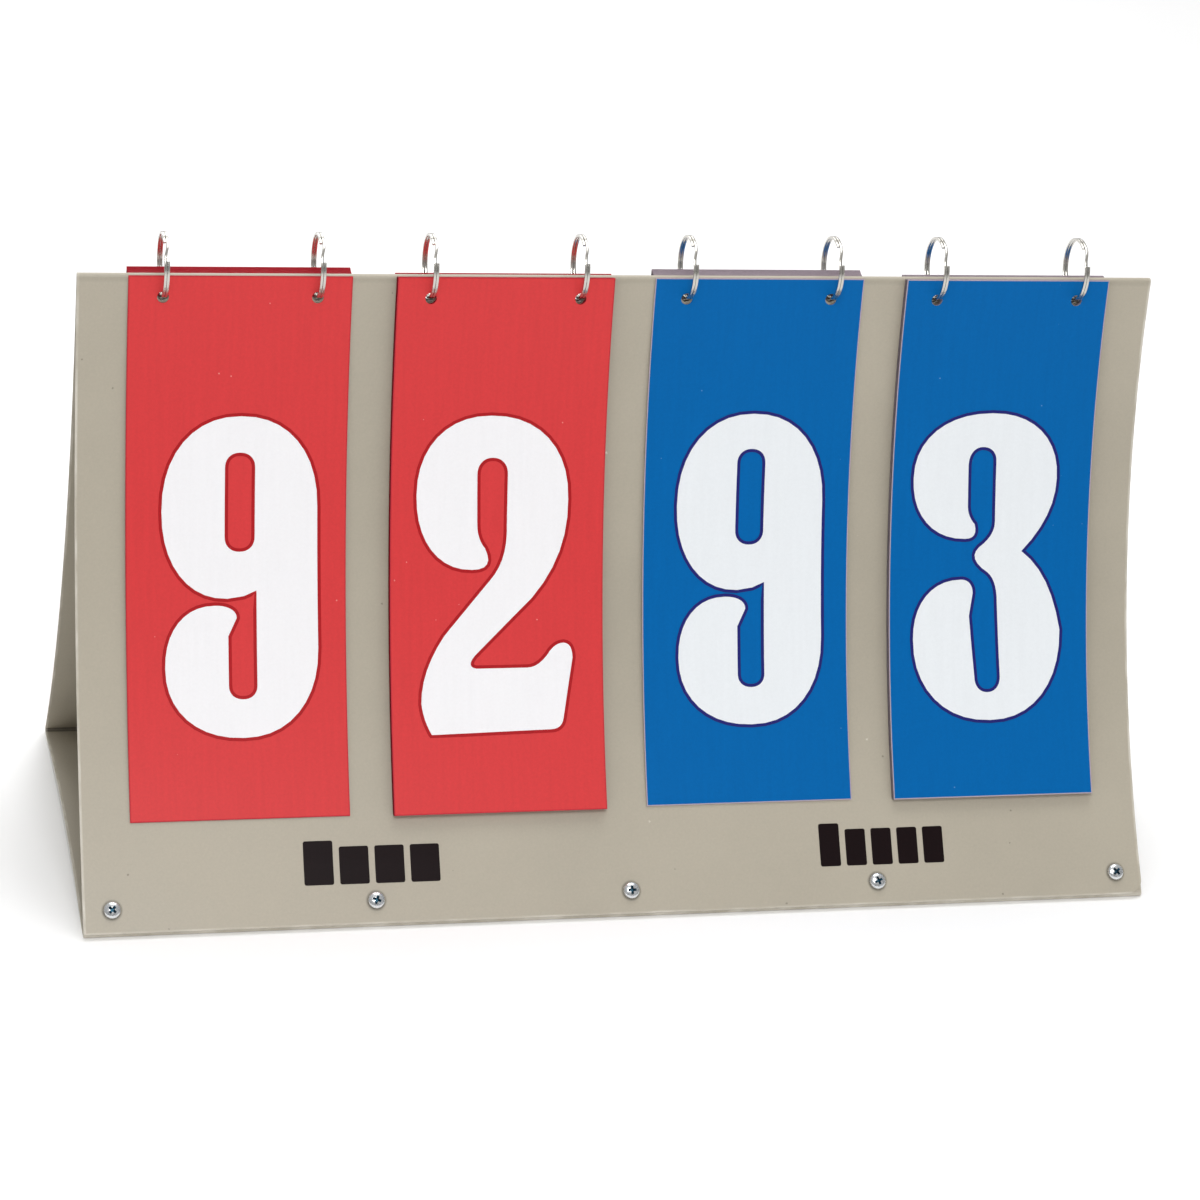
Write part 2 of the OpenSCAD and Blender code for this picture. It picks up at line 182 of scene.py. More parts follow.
@dataclass(frozen=True)
class PaintedShade(Layer):
    """Shade painted into the colour along a line parallel to X, or round places evenly apart on the line.

    It is full near the line and gone farther out. It lies all along the line where nothing is apart.
    """

    y_mm: float
    z_mm: float
    full_mm: float
    gone_mm: float
    strength: float
    apart_mm: float = 0.0

    def amount(self, tree: NodeTree, place: NodeSocket) -> NodeSocket:
        """Folds the line onto its middle and fades the painted shade out round it.

        Args:
            tree: The material's node tree.
            place: Object coordinates.

        Returns:
            How strong the painted shade is.
        """
        axes = add_node(tree, "SeparateXYZ", inputs={"Vector": place})
        nearest = add_node(tree, "Math", {"operation": "PINGPONG"}, {
            0: axes.outputs["X"], 1: self.apart_mm / 2 * MM})
        spot = add_node(tree, "CombineXYZ", inputs={
            "X": nearest.outputs["Value"], "Y": axes.outputs["Y"], "Z": axes.outputs["Z"]})
        away = add_node(tree, "VectorMath", {"operation": "DISTANCE"}, {
            0: spot.outputs["Vector"], 1: (0, self.y_mm * MM, self.z_mm * MM)})
        return add_node(tree, "MapRange", inputs={
            "Value": away.outputs["Value"], "From Min": self.full_mm * MM, "From Max": self.gone_mm * MM,
            "To Min": self.strength, "To Max": 0.0}).outputs["Result"]


@dataclass(frozen=True)
class RimHighlight(Layer):
    """A painted highlight: a whitish last millimetre or so along the sheet's cut ends and its front foot.

    A rim is full and gone at shares of its width, and its strength goes up and down between two values.
    """

    rim_mm: float = 1.5
    half_width_mm: float = 305.0
    foot_mm: float = 3.3
    front_y_mm: float = -100.0
    side_full: float = 0.6
    foot_gone: float = 0.8
    foot_full: float = 0.4
    patch_mm: float = 17.0
    weakest: float = 0.1
    strongest: float = 0.6

    def amount(self, tree: NodeTree, place: NodeSocket) -> NodeSocket:
        """Finds the rims by their distance from the sheet's ends and foot, and makes them patchy.

        Args:
            tree: The material's node tree.
            place: Object coordinates.

        Returns:
            How strong the painted highlight is.
        """
        axes = add_node(tree, "SeparateXYZ", inputs={"Vector": place})
        away = add_node(tree, "Math", {"operation": "ABSOLUTE"}, {0: axes.outputs["X"]})
        side = add_node(tree, "MapRange", inputs={
            "Value": away.outputs["Value"], "From Min": (self.half_width_mm - self.rim_mm) * MM,
            "From Max": (self.half_width_mm - self.side_full * self.rim_mm) * MM})
        foot = add_node(tree, "MapRange", inputs={
            "Value": axes.outputs["Z"], "From Min": (self.foot_mm + self.foot_gone * self.rim_mm) * MM,
            "From Max": (self.foot_mm + self.foot_full * self.rim_mm) * MM})
        front = add_node(tree, "Math", {"operation": "LESS_THAN"}, {
            0: axes.outputs["Y"], 1: self.front_y_mm * MM})
        low = add_node(tree, "Math", {"operation": "MULTIPLY"}, {
            0: foot.outputs["Result"], 1: front.outputs["Value"]})
        either = add_node(tree, "Math", {"operation": "MAXIMUM"}, {
            0: side.outputs["Result"], 1: low.outputs["Value"]})
        patches = add_node(tree, "TexNoise", inputs={
            "Vector": place, "Scale": 1 / (self.patch_mm * MM), "Detail": 2.0})
        patchy = add_node(tree, "MapRange", inputs={
            "Value": patches.outputs["Fac"], "From Min": 0.35, "From Max": 0.65,
            "To Min": self.weakest, "To Max": self.strongest})
        return add_node(tree, "Math", {"operation": "MULTIPLY"}, {
            0: either.outputs["Value"], 1: patchy.outputs["Result"]}).outputs["Value"]


@dataclass(frozen=True)
class Finish:
    """What every finish has: a colour, a gloss, and a surface that is wired by its own method."""

    name: str
    colour: str
    roughness: float

    def material(self) -> Material:
        """Makes the finish's material, or takes the one made before.

        Returns:
            The material.
        """
        known = bpy.data.materials.get(self.name)
        if known:
            return known
        made = bpy.data.materials.new(self.name)
        made.use_nodes = True
        tree = made.node_tree
        shader = tree.nodes["Principled BSDF"]
        shader.inputs["Base Color"].default_value = linear(self.colour)
        shader.inputs["Roughness"].default_value = self.roughness
        place = add_node(tree, "TexCoord").outputs["Object"]
        self.wire(tree, shader, place)
        return made

    def wire(self, tree: NodeTree, shader: Node, place: NodeSocket) -> None:
        """Adds the finish's own pattern to the shader."""


@dataclass(frozen=True)
class FoldedSheet(Finish):
    """Extruded polyethylene sheet, satin from its polishing rolls, clouded and nicked by handling.

    Such rolls leave a texture of typically 0.3 mm. It is too fine to show and is drawn four times as
    coarse. On it lie dark specks and pale nicks, painted shade in the ridge and in the rear and the front
    crease, a painted shadow round the screws' heads, and a painted highlight along the rims.
    """

    grain_mm: float = 1.3
    grain_share: float = 0.4
    cloud_mm: float = 110.0
    unevenness: float = 0.06
    gloss_swing: float = 0.05
    layers: tuple[Layer, ...] = (
        Marks("#6a6257", 19.0, 0.75, 0.55),
        Marks("#e6e1d7", 27.0, 1.1, 0.75),
        # Painted shade along the ridge, to dim the light line where its bend catches the top lamp
        PaintedShade("#6b6458", 0.0, 333.8, 2.38, 3.4, 0.12),
        # Painted shade in the rear and the front crease, where the inside of the fold lies in shade
        PaintedShade("#6b6458", 122.8, 2.2, 1.33, 1.9, 0.8),
        PaintedShade("#6b6458", -121.2, 2.2, 1.33, 1.9, 0.8),
        # Painted shadow round each screw head on the front panel
        PaintedShade("#4f493f", -117.8, 14.25, 4.8, 6.2, 0.75, apart_mm=144.7),
        # Painted highlight along the cut ends and the front foot, where the rounded edge catches the light
        RimHighlight("#e6e1d6"),
    )

    def wire(self, tree: NodeTree, shader: Node, place: NodeSocket) -> None:
        """Clouds the colour and the gloss, lays the layers over them and adds the grain.

        Args:
            tree: The material's node tree.
            shader: Its shader.
            place: Object coordinates.
        """
        cloud = add_node(tree, "TexNoise", inputs={
            "Vector": place, "Scale": 1 / (self.cloud_mm * MM), "Detail": 4.0, "Roughness": 0.55})
        grain = add_node(tree, "TexNoise", inputs={
            "Vector": place, "Scale": 1 / (self.grain_mm * MM), "Detail": 3.0, "Roughness": 0.65})
        both = add_node(tree, "Mix", {"data_type": "FLOAT"}, {
            0: self.grain_share, 2: cloud.outputs["Fac"], 3: grain.outputs["Fac"]})
        tone = add_node(tree, "MapRange", inputs={
            "Value": both.outputs[0], "From Min": 0.35, "From Max": 0.65,
            "To Min": 1 - self.unevenness, "To Max": 1 + self.unevenness})
        shade = add_node(tree, "VectorMath", {"operation": "SCALE"}, {
            "Vector": linear(self.colour)[:3], "Scale": tone.outputs["Result"]}).outputs["Vector"]
        for layer in self.layers:
            shade = layer.cover(tree, place, shade)
        tree.links.new(shade, shader.inputs["Base Color"])
        gloss = add_node(tree, "MapRange", inputs={
            "Value": cloud.outputs["Fac"], "From Min": 0.3, "From Max": 0.7,
            "To Min": self.roughness - self.gloss_swing, "To Max": self.roughness + self.gloss_swing})
        tree.links.new(gloss.outputs["Result"], shader.inputs["Roughness"])
        bump = add_node(tree, "Bump", inputs={
            "Height": grain.outputs["Fac"], "Strength": 0.16, "Distance": 0.12 * MM})
        tree.links.new(bump.outputs["Normal"], shader.inputs["Normal"])


@dataclass(frozen=True)
class CutEdge(Finish):
    """The sawn or sheared edge of a plastic sheet: paler than the face, matt, with fine cutter lines.

    Such lines are typically 0.2 mm apart, which is too fine to show, and are drawn coarser.
    """

    line_mm: float = 0.9

    def wire(self, tree: NodeTree, shader: Node, place: NodeSocket) -> None:
        """Adds the cutter's lines as a fine bump and a slight change of tone.

        Args:
            tree: The material's node tree.
            shader: Its shader.
            place: Object coordinates.
        """
        lines = add_node(tree, "TexNoise", inputs={
            "Vector": place, "Scale": 1 / (self.line_mm * MM), "Detail": 2.0})
        tone = add_node(tree, "MapRange", inputs={
            "Value": lines.outputs["Fac"], "From Min": 0.3, "From Max": 0.7, "To Min": 0.9, "To Max": 1.06})
        shade = add_node(tree, "VectorMath", {"operation": "SCALE"}, {
            "Vector": linear(self.colour)[:3], "Scale": tone.outputs["Result"]})
        tree.links.new(shade.outputs["Vector"], shader.inputs["Base Color"])
        bump = add_node(tree, "Bump", inputs={
            "Height": lines.outputs["Fac"], "Strength": 0.3, "Distance": 0.1 * MM})
        tree.links.new(bump.outputs["Normal"], shader.inputs["Normal"])


@dataclass(frozen=True)
class PrintedVinyl(Finish):
    """Calendered vinyl sheet, screen printed: a flat strong colour with a faint cloth-like mottle.

    Calender rolls leave a mottle of typically 0.4 mm, which is drawn coarser so that it shows. The gleam
    is the shader's specular level: the ink is matt and doesn't mirror the studio.
    """

    mottle_mm: float = 1.5
    streak_mm: float = 2.4
    streak_pull: tuple[float, float, float] = (1.0, 0.06, 0.06)
    streak_share: float = 0.35
    depth: float = 0.045
    gleam: float = 0.25
    pinholes: Marks | None = None

    def wire(self, tree: NodeTree, shader: Node, place: NodeSocket) -> None:
        """Mottles the ink, draws the squeegee's faint upright streaks, and adds pinholes and a soft grain.

        Args:
            tree: The material's node tree.
            shader: Its shader.
            place: Object coordinates.
        """
        mottle = add_node(tree, "TexNoise", inputs={
            "Vector": place, "Scale": 1 / (self.mottle_mm * MM), "Detail": 3.0, "Roughness": 0.7})
        upright = add_node(tree, "Mapping", inputs={"Vector": place, "Scale": self.streak_pull})
        streak = add_node(tree, "TexNoise", inputs={
            "Vector": upright.outputs["Vector"], "Scale": 1 / (self.streak_mm * MM), "Detail": 2.0})
        both = add_node(tree, "Mix", {"data_type": "FLOAT"}, {
            0: self.streak_share, 2: mottle.outputs["Fac"], 3: streak.outputs["Fac"]})
        tone = add_node(tree, "MapRange", inputs={
            "Value": both.outputs[0], "From Min": 0.35, "From Max": 0.65,
            "To Min": 1 - self.depth, "To Max": 1 + self.depth})
        shader.inputs["Specular IOR Level"].default_value = self.gleam
        shade = add_node(tree, "VectorMath", {"operation": "SCALE"}, {
            "Vector": linear(self.colour)[:3], "Scale": tone.outputs["Result"]}).outputs["Vector"]
        if self.pinholes:
            shade = self.pinholes.cover(tree, place, shade)
        tree.links.new(shade, shader.inputs["Base Color"])
        bump = add_node(tree, "Bump", inputs={
            "Height": mottle.outputs["Fac"], "Strength": 0.12, "Distance": 0.08 * MM})
        tree.links.new(bump.outputs["Normal"], shader.inputs["Normal"])


@dataclass(frozen=True)
class PlatedMetal(Finish):
    """Plated steel wire or a plated fastener: bright, with the die's or the bath's slight unevenness.

    The unevenness is typically 0.2 mm wide, which is too fine to show, and is drawn coarser.
    """

    pit_mm: float = 0.8
    gloss_range: tuple[float, float] = (0.75, 1.4)
    unevenness: float = 0.25

    def wire(self, tree: NodeTree, shader: Node, place: NodeSocket) -> None:
        """Varies the gloss and adds shallow pits.

        Args:
            tree: The material's node tree.
            shader: Its shader.
            place: Object coordinates.
        """
        shader.inputs["Metallic"].default_value = 1.0
        pits = add_node(tree, "TexNoise", inputs={
            "Vector": place, "Scale": 1 / (self.pit_mm * MM), "Detail": 3.0, "Roughness": 0.6})
        gloss = add_node(tree, "MapRange", inputs={
            "Value": pits.outputs["Fac"], "From Min": 0.35, "From Max": 0.7,
            "To Min": self.roughness * self.gloss_range[0], "To Max": self.roughness * self.gloss_range[1]})
        tree.links.new(gloss.outputs["Result"], shader.inputs["Roughness"])
        bump = add_node(tree, "Bump", inputs={
            "Height": pits.outputs["Fac"], "Strength": self.unevenness, "Distance": 0.05 * MM})
        tree.links.new(bump.outputs["Normal"], shader.inputs["Normal"])


class Stock(Enum):
    """The finishes that the scoreboard is made of."""

    # Rolled plastic: a soft, slightly cloudy sheen with a few dark specks and pale nicks
    SHEET = FoldedSheet("folded_polyethylene_sheet", "#b5ad9c", 0.46)
    # Sawn plastic: a paler, matt line along the sheet's sides and foot
    SHEET_EDGE = CutEdge("sheet_cut_edge", "#d8d2c5", 0.7)
    # Printed vinyl: an even, saturated field with pale pinholes
    HOME_RED = PrintedVinyl("home_red_printed_vinyl", "#db3c3e", 0.42,
                            pinholes=Marks("#eda79f", 12.5, 0.5, 0.7))
    GUEST_BLUE = PrintedVinyl("guest_blue_printed_vinyl", "#0066ae", 0.42, gleam=0.08,
                              pinholes=Marks("#6fa3cf", 12.5, 0.5, 0.7))
    # Sheared vinyl: red right through on the home cards, a pale core on the guest cards
    HOME_EDGE = CutEdge("home_card_cut_edge", "#c4142a", 0.6)
    GUEST_EDGE = CutEdge("guest_card_cut_edge", "#b5a6b0", 0.6)
    # White screen ink, thick enough to hide the sheet's colour: warmer on red, cooler on blue
    HOME_NUMERAL = PrintedVinyl("home_numeral_white_ink", "#faf9fb", 0.45, depth=0.02)
    GUEST_NUMERAL = PrintedVinyl("guest_numeral_white_ink", "#f1f5f8", 0.45, depth=0.02)
    # Dark line where the colour's screen overlaps the white: it makes the numeral crisp
    HOME_KEYLINE = PrintedVinyl("home_keyline_ink", "#b01019", 0.45, depth=0.08)
    GUEST_KEYLINE = PrintedVinyl("guest_keyline_ink", "#1a1c70", 0.45, depth=0.08)
    # Black screen ink on the sheet: flat, a little uneven
    MARK_BLACK = PrintedVinyl("mark_black_ink", "#170b0d", 0.4, depth=0.1, gleam=0.1)
    # Nickel on spring steel: bright warm grey, with the dark room mirrored in thin lines
    NICKEL = PlatedMetal("nickel_plated_ring_wire", "#c9c6bf", 0.2)
    # Bright zinc: a paler, bluish silver, dull enough to look stamped
    ZINC = PlatedMetal("zinc_plated_fastener", "#dfe2e4", 0.24, unevenness=0.3)
    # Shade painted into the recess as dark bluish zinc: the head's dark middle
    ZINC_RECESS = PlatedMetal("zinc_recess_painted_shade", "#3a6074", 0.45, unevenness=0.5)

    @property
    def material(self) -> Material:
        """The finish's material."""
        return self.value.material()


@dataclass(frozen=True)
class Faces:
    """The triangles of a CAD node as arrays, read once."""

    points: np.ndarray
    corners: np.ndarray
    normals: np.ndarray
    centres: np.ndarray

    @classmethod
    def read(cls, node: str) -> "Faces":
        """Reads a node's mesh.

        Args:
            node: The CAD node's name.

        Returns:
            Its points, the three corners of each face, and the faces' normals and centres.
        """
        mesh = frame["nodes"][node].data
        points = np.zeros(len(mesh.vertices) * 3, np.float32)
        mesh.vertices.foreach_get("co", points)
        corners = np.zeros(len(mesh.loops), np.int32)
        mesh.loops.foreach_get("vertex_index", corners)
        points = points.reshape(-1, 3).astype(float)
        corners = corners.reshape(-1, 3)
        a, b, c = (points[corners[:, k]] for k in range(3))
        normals = np.cross(b - a, c - a)
        normals /= np.maximum(np.linalg.norm(normals, axis=1, keepdims=True), TINY)
        return cls(points, corners, normals, (a + b + c) / 3)


@dataclass(frozen=True)
class Bow:
    """The round cross-section of a bowed sheet: the circle's middle, and the radii of its two faces."""

    y: float
    z: float
    outer: float
    inner: float

    @classmethod
    def read(cls, points: np.ndarray, low: float = -1.0, high: float = 1.0) -> "Bow":
        """Fits the circle to the points of a sheet's left edge.

        Args:
            points: The sheet's points in metres.
            low: Height below which the edge isn't part of the bow.
            high: Height above which the edge isn't part of the bow.

        Returns:
            The bow. Its outer face has the smaller radius, because the sheet bows inwards.
        """
        edge = points[np.abs(points[:, 0] - points[:, 0].min()) < NEAR]
        edge = edge[(edge[:, 2] > low) & (edge[:, 2] < high)]
        used = edge
        for _ in range(FIT_ROUNDS):
            table = np.column_stack([used[:, 1:], np.ones(len(used))])
            answer = np.linalg.lstsq(table, -(used[:, 1:] ** 2).sum(1), rcond=None)[0]
            y, z = -answer[0] / 2, -answer[1] / 2
            radius = np.hypot(edge[:, 1] - y, edge[:, 2] - z)
            used = edge[radius > radius.mean()]
        return cls(y, z, radius.min(), radius.max())

    @property
    def side(self) -> int:
        """-1 for a sheet at the front and 1 for one at the rear."""
        return -1 if self.y < 0 else 1

    def radii(self, points: np.ndarray) -> np.ndarray:
        """The points' distances from the middle of the bow."""
        return np.hypot(points[:, 1] - self.y, points[:, 2] - self.z)

    def angle_at(self, height: float) -> float:
        """The angle of the outer face at a height, counted from level."""
        return math.asin((self.z - height) / self.outer)

    def spot(self, x: float, angle: float, radius: float) -> Vector:
        """A point at a radius and an angle below level, seen from the middle of the bow."""
        return Vector((x, self.y - self.side * radius * math.cos(angle), self.z - radius * math.sin(angle)))


@dataclass(frozen=True)
class Spread:
    """Moves points to and from the middle of a bow: they spread about one radius, then all move alike."""

    bow: Bow
    about: float
    factor: float
    lift: float = 0.0

    def undone(self) -> "Spread":
        """The spread that brings the points back."""
        return Spread(self.bow, self.about, 1 / self.factor)

    def apply(self, mesh: Mesh) -> None:
        """Moves a mesh's points.

        Args:
            mesh: The mesh.
        """
        flat = np.zeros(len(mesh.vertices) * 3, np.float32)
        mesh.vertices.foreach_get("co", flat)
        points = flat.reshape(-1, 3).astype(float)
        radii = self.bow.radii(points)
        share = (self.about + (radii - self.about) * self.factor + self.lift) / radii
        points[:, 1] = self.bow.y + (points[:, 1] - self.bow.y) * share
        points[:, 2] = self.bow.z + (points[:, 2] - self.bow.z) * share
        mesh.vertices.foreach_set("co", points.astype(np.float32).ravel())
        mesh.update()


def set_faces(node: str, finishes: list[Stock], index: np.ndarray | None = None) -> None:
    """Gives a CAD node its materials.

    Args:
        node: The CAD node's name.
        finishes: The finishes, one for each slot.
        index: The slot of each face, or nothing where there is one slot.
    """
    mesh = frame["nodes"][node].data
    mesh.materials.clear()
    for finish in finishes:
        mesh.materials.append(finish.material)
    faces = np.zeros(len(mesh.polygons), np.int32) if index is None else index.astype(np.int32)
    mesh.polygons.foreach_set("material_index", faces)
    mesh.update()


def edit_all() -> None:
    """Goes into edit mode with everything selected."""
    bpy.ops.object.mode_set(mode="EDIT")
    bpy.ops.mesh.select_all(action="SELECT")


def deselect_all() -> None:
    """Leaves edit mode and clears the selection."""
    if bpy.context.object and bpy.context.object.mode != "OBJECT":
        bpy.ops.object.mode_set(mode="OBJECT")
    bpy.ops.object.select_all(action="DESELECT")


def new_piece(name: str, mesh: Mesh, *finishes: Stock) -> Object:
    """Links a finished mesh into the scene as a piece.

    Args:
        name: The piece's name.
        mesh: Its mesh, already in place.
        finishes: What it is made of, one finish for each material slot.

    Returns:
        The new object.
    """
    piece = bpy.data.objects.new(name, mesh)
    for finish in finishes:
        mesh.materials.append(finish.material)
    bpy.context.scene.collection.objects.link(piece)
    LOG.info("%s: %d faces", name, len(mesh.polygons))
    return piece


@dataclass
class Stand:
    """The folded sheet: its panels, base and seam flange, with paler cut edges."""

    nodes: tuple[str, ...] = ("front_panel", "rear_panel", "base_panel", "seam_flange")
    edge_facing: float = 0.9
    edge_depth: float = 0.1 * MM
    hem_h: float = 2.1 * MM
    hem_facing: float = 0.5

    def dress(self) -> None:
        """Gives the panels the sheet's finish, and their side edges and the front foot the cut one."""
        for node in self.nodes:
            faces = Faces.read(node)
            cut = np.abs(faces.normals[:, 0]) > self.edge_facing
            limit = np.abs(faces.points[:, 0]).max() - self.edge_depth
            cut &= np.abs(faces.centres[:, 0]) > limit
            if node == "front_panel":
                hem = faces.points[faces.corners][:, :, 2].max(1) < faces.points[:, 2].min() + self.hem_h
                cut |= hem & (faces.normals[:, 2] < -self.hem_facing)
            set_faces(node, [Stock.SHEET, Stock.SHEET_EDGE], cut)
            LOG.info("%s: %d cut faces", node, int(cut.sum()))


class Team(Enum):
    """The two teams: the start of their nodes' names, their slot, and the finishes of their cards.

    The finishes are the sheet's, its cut edge's, the numeral's and that of the line round the numeral.
    """

    HOME = ("home", "card_red",
            (Stock.HOME_RED, Stock.HOME_EDGE, Stock.HOME_NUMERAL, Stock.HOME_KEYLINE))
    GUEST = ("guest", "card_blue",
             (Stock.GUEST_BLUE, Stock.GUEST_EDGE, Stock.GUEST_NUMERAL, Stock.GUEST_KEYLINE))

    def __init__(self, prefix: str, slot: str, finishes: tuple[Stock, ...]) -> None:
        """Gives the parts of a team's value their names.

        Args:
            prefix: The start of the names of its nodes.
            slot: The material slot of its cards.
            finishes: The four finishes of its cards.
        """
        self.prefix = prefix
        self.slot = slot
        self.finishes = finishes


@dataclass
class Card:
    """One numbered card: its vinyl, its cut rim, its printed numeral and the dark line round the numeral.

    The line and the rim stand a hair above the vinyl. The numeral is found by its points, which are more
    than the ink step off both of the sheet's faces.
    """

    team: Team
    node: str
    line_w: float = 1.8 * MM
    line_lift: float = 0.05 * MM
    rim_w: float = 0.6 * MM
    rim_lift: float = 0.03 * MM
    stretch: float = 20.0
    ink_step: float = 0.02 * MM
    face_share: float = 0.5
    border_depth: float = 0.05 * MM
    weld: float = 0.002 * MM

    def dress(self) -> None:
        """Colours the sheet, the cut edges and the numeral, and adds the line and the rim."""
        faces = Faces.read(self.node)
        bow = Bow.read(faces.points)
        radii = bow.radii(faces.points)
        raised = (radii < bow.outer - self.ink_step) | (radii > bow.inner + self.ink_step)
        corners = raised[faces.corners]
        run = faces.centres - np.array((0, bow.y, bow.z))
        run[:, 0] = 0
        run /= np.linalg.norm(run, axis=1, keepdims=True)
        flat = np.abs((faces.normals * run).sum(1)) > self.face_share
        numeral = corners.all(1) & flat
        walls = corners.any(1) & ~flat
        edge = ~corners.any(1) & ~flat
        vinyl, cut, white, line = self.team.finishes
        slots = [vinyl, white, cut, line]
        index = np.select([numeral, walls, edge], [slots.index(stock) for stock in (white, line, cut)])
        set_faces(self.node, slots, index)
        printed, way = (bow.outer, -1) if radii[raised].mean() < bow.outer else (bow.inner, 1)
        ring = self.strip("numeral_line", walls, self.line_w, Spread(bow, printed, self.stretch), line)
        Spread(bow, printed, 1, way * self.line_lift).apply(ring)
        rim = self.strip("cut_rim", edge & self.on_border(faces, bow), -self.rim_w, Spread(bow, 0, 1), cut)
        thicker = 1 + 2 * self.rim_lift / (bow.inner - bow.outer)
        Spread(bow, (bow.outer + bow.inner) / 2, thicker).apply(rim)

    def on_border(self, faces: Faces, bow: Bow) -> np.ndarray:
        """Finds the faces on the card's four sides, leaving out the walls of its ring holes.

        Args:
            faces: The card's triangles.
            bow: The card's cross-section.

        Returns:
            Which faces are on the border.
        """
        x = faces.points[:, 0]
        turn = np.arctan2(bow.z - faces.points[:, 2], np.abs(faces.points[:, 1] - bow.y)) * bow.outer
        ends = [(run, end) for run in (x, turn) for end in (run.min(), run.max())]
        near = [np.abs(run - end) < self.border_depth for run, end in ends]
        return np.any([points[faces.corners].all(1) for points in near], axis=0)

    def strip(self, name: str, kept: np.ndarray, reach: float, spread: Spread, finish: Stock) -> Mesh:
        """Pulls some of the card's narrow faces sideways into a closed strip that rides on the card.

        Args:
            name: The end of the piece's name.
            kept: Which of the card's faces are pulled.
            reach: How far, outwards or, where it is negative, inwards.
            spread: Makes the faces wide while they are pulled, so that a lean in them doesn't count.
            finish: The strip's finish.

        Returns:
            The strip's mesh.
        """
        deselect_all()
        mesh = frame["nodes"][self.node].data.copy()
        mesh.materials.clear()
        piece = new_piece(f"{self.node}_{name}", mesh, finish)
        piece.select_set(True)
        bpy.context.view_layer.objects.active = piece
        bpy.ops.object.mode_set(mode="EDIT")
        bpy.ops.mesh.select_mode(type="FACE")
        bpy.ops.mesh.select_all(action="DESELECT")
        bpy.ops.object.mode_set(mode="OBJECT")
        mesh.polygons.foreach_set("select", ~kept)
        bpy.ops.object.mode_set(mode="EDIT")
        bpy.ops.mesh.delete(type="FACE")
        bpy.ops.mesh.select_all(action="SELECT")
        bpy.ops.mesh.remove_doubles(threshold=self.weld)
        bpy.ops.object.mode_set(mode="OBJECT")
        spread.apply(mesh)
        bpy.ops.object.mode_set(mode="EDIT")
        bpy.ops.mesh.extrude_region_shrink_fatten(
            TRANSFORM_OT_shrink_fatten={"value": reach, "use_even_offset": reach < 0})
        bpy.ops.mesh.select_all(action="SELECT")
        bpy.ops.mesh.normals_make_consistent(inside=False)
        bpy.ops.mesh.customdata_custom_splitnormals_clear()
        bpy.ops.object.mode_set(mode="OBJECT")
        spread.undone().apply(mesh)
        bpy.ops.object.shade_flat()
        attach(piece, body_of(self.node))
        return mesh


def body_of(node: str) -> str:
    """The body that a CAD node is part of."""
    return frame["nodes"][node]["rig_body"]


@dataclass
class SplitRing:
    """One split ring of flat wire: two turns side by side, joined by a short crossing.

    The wire makes a little less than two full turns. Its start lies at an angle from the ring's rear,
    counted over the top.
    """

    turn_w: float = 1.46 * MM
    step_deg: float = 5.0
    crossing_deg: float = 30.0
    gap_deg: float = 4.0
    end_at_deg: float = 118.0
    turns: int = 2
    corner: float = 0.3 * MM
    smooth_deg: float = 40.0

    def dress(self, node: str) -> None:
        """Puts a split ring in the place of a CAD ring.

        Args:
            node: The CAD ring's name.
        """
        low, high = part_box(node)
        middle = (low + high) / 2
        radii = np.hypot(*(Faces.read(node).points[:, 1:] - np.array(middle)[1:]).T)
        wire_t = radii.max() - radii.min()
        mesh = self.model(radii.max() - wire_t / 2, wire_t, (high.x - low.x) / 2)
        mesh.transform(Matrix.Translation(middle))
        piece = new_piece(node + "_wire", mesh, Stock.NICKEL)
        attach(piece, body_of(node))
        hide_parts(node)

    def model(self, radius: float, wire_t: float, half_w: float) -> Mesh:
        """Draws the wire round its two turns, one short pull at a time.

        Args:
            radius: Of the middle of the wire.
            wire_t: Thickness of the wire across the ring.
            half_w: Half the ring's width.

        Returns:
            The ring's mesh, about the origin with its axis along X.
        """
        deselect_all()
        side = half_w - self.turn_w / 2
        bpy.ops.mesh.primitive_plane_add(size=1)
        wire = bpy.context.object
        wire.data.transform(Matrix.Diagonal((self.turn_w, wire_t, 1, 1)))
        wire.data.transform(Matrix.Translation((-side, radius, 0)))
        edit_all()
        bpy.ops.mesh.bevel(offset=self.corner, offset_pct=0, segments=2, affect="VERTICES")
        travel = 360 * self.turns - self.crossing_deg - 2 * self.gap_deg
        steps = round(travel / self.step_deg)
        turn = math.radians(travel / steps)
        along = 0.0
        for _ in range(steps):
            shift = self.side_at(along + travel / steps, travel, side) - self.side_at(along, travel, side)
            bpy.ops.mesh.extrude_region_move(TRANSFORM_OT_translate={"value": (shift, 0, 0)})
            bpy.ops.transform.rotate(value=turn, orient_axis="X", center_override=(0, 0, 0))
            along += travel / steps
        bpy.ops.mesh.select_all(action="SELECT")
        bpy.ops.mesh.normals_make_consistent(inside=False)
        bpy.ops.object.mode_set(mode="OBJECT")
        bpy.ops.object.shade_smooth_by_angle(angle=math.radians(self.smooth_deg))
        mesh = wire.data
        mesh.transform(Matrix.Rotation(math.radians(self.end_at_deg), 4, "X"))
        bpy.data.objects.remove(wire)
        return mesh

    def side_at(self, along: float, travel: float, side: float) -> float:
        """How far sideways the wire lies after some degrees of travel.

        Args:
            along: The degrees travelled.
            travel: The degrees of the whole wire.
            side: Half the distance between the middles of the two turns.

        Returns:
            The distance from the ring's middle plane.
        """
        begin = travel / 2 - self.crossing_deg / 2
        share = min(max((along - begin) / self.crossing_deg, 0), 1)
        return side * (2 * share * share * (3 - 2 * share) - 1)


